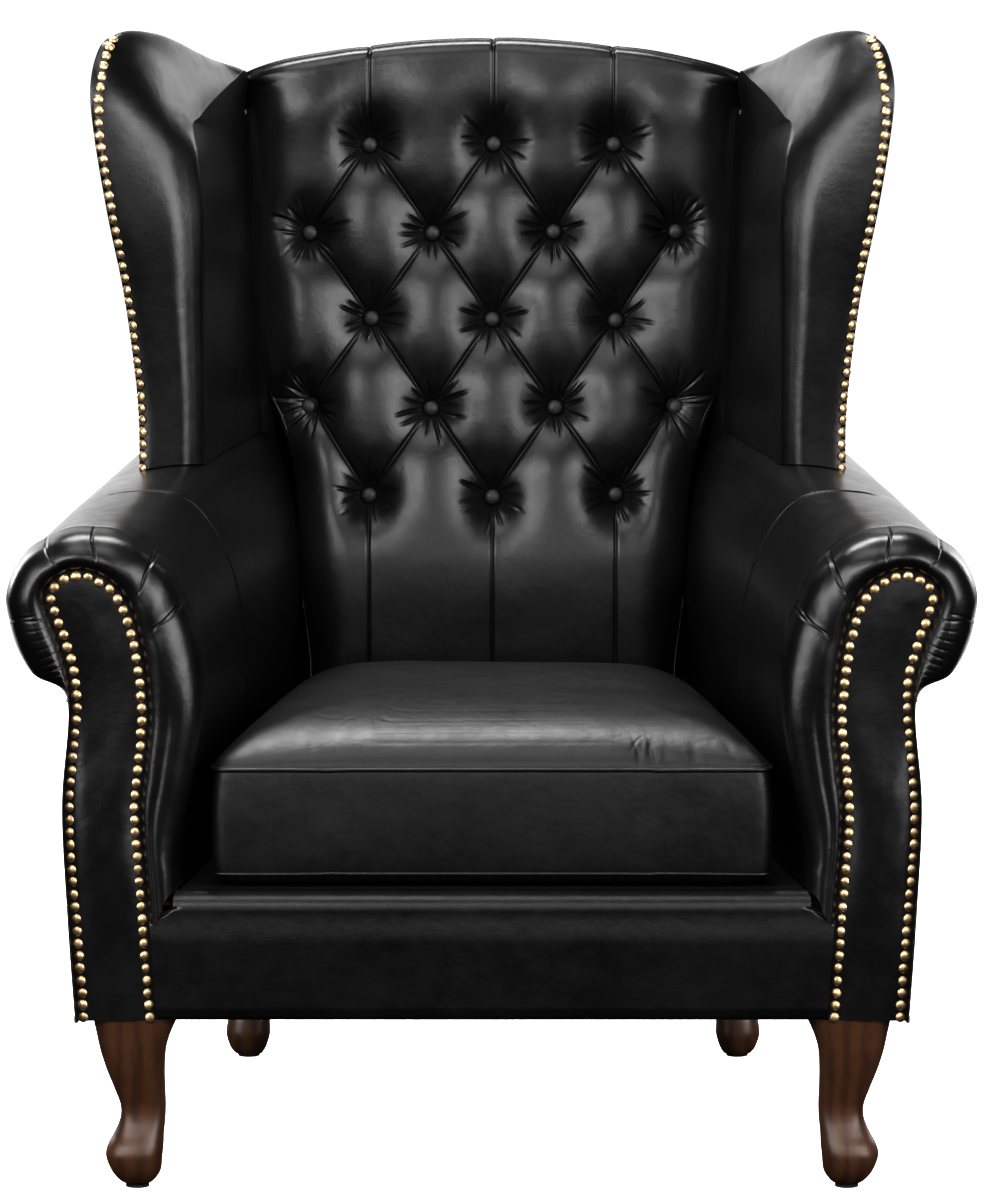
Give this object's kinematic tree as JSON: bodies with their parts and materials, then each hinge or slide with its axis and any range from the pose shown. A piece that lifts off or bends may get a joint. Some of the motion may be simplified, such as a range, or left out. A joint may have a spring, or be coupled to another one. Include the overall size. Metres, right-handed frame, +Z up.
{
  "type": "wing-back chesterfield armchair",
  "caption": "Wing-back chesterfield armchair with a buttoned inside back, rolled arms with nailed facings, a loose box seat cushion and dark wooden cabriole legs.",
  "frame": {"origin": "on the floor under the middle of the chair's bounding box", "axes": "+Z up, the front faces -Y, +X to the right of a viewer who faces the front"},
  "size_m": [0.9, 0.8358, 1.0719],
  "materials": {
    "leather": "smooth black semi-gloss upholstery leather",
    "brass": "antique brass",
    "walnut": "dark walnut stain, satin lacquer",
    "beech": "bare beech",
    "foam": "upholstery foam",
    "jute": "woven jute",
    "cloth": "black lining cloth",
    "steel": "bare steel",
    "zip": "black zip tape and teeth",
    "rubber": "black glide pad"
  },
  "bodies": {
    "frame": {"front_rail": "beech", "rear_rail": "beech", "side_rail_left": "beech", "side_rail_right": "beech", "corner_blocks": "beech", "arm_board_left": "beech", "arm_board_right": "beech", "arm_rail_left": "beech", "arm_rail_right": "beech", "back_post_left": "beech", "back_post_right": "beech", "crest_rail": "beech", "lumbar_rail": "beech", "wing_board_left": "beech", "wing_board_right": "beech", "seat_springs": "steel", "spring_clips": "steel", "leg_bolts": "steel", "seat_hessian": "jute", "back_webbing": "jute", "deck_pad": "foam", "back_pad": "foam", "arm_pad_left": "foam", "arm_pad_right": "foam", "wing_pad_left": "foam", "wing_pad_right": "foam", "border_pad": "foam", "deck_cover": "cloth", "dust_cover": "cloth", "inside_back_cover": "leather", "arm_cover_left": "leather", "arm_cover_right": "leather", "arm_facing_left": "leather", "arm_facing_right": "leather", "outside_arm_left": "leather", "outside_arm_right": "leather", "wing_cover_left": "leather", "wing_cover_right": "leather", "outside_wing_left": "leather", "outside_wing_right": "leather", "outside_back_cover": "leather", "border_cover": "leather", "back_buttons": "leather", "facing_nails_left": "brass", "facing_nails_right": "brass", "wing_nails_left": "brass", "wing_nails_right": "brass", "leg_front_left": "walnut", "leg_front_right": "walnut", "leg_rear_left": "walnut", "leg_rear_right": "walnut", "foot_glides": "rubber"},
    "cushion": {"cushion_top": "leather", "cushion_boxing": "leather", "cushion_bottom": "leather", "cushion_core": "foam", "cushion_piping": "leather", "cushion_zip": "zip"},
    "zip_slider": {"zip_slider": "brass"}
  },
  "joints": [
    {"name": "cushion_lift", "type": "slide", "parent": "frame", "child": "cushion", "axis": [0, 0, 1], "range_m": [0, 0.3]},
    {"name": "zip_slide", "type": "slide", "parent": "cushion", "child": "zip_slider", "axis": [1, 0, 0], "range_m": [0, 0.28]}
  ]
}
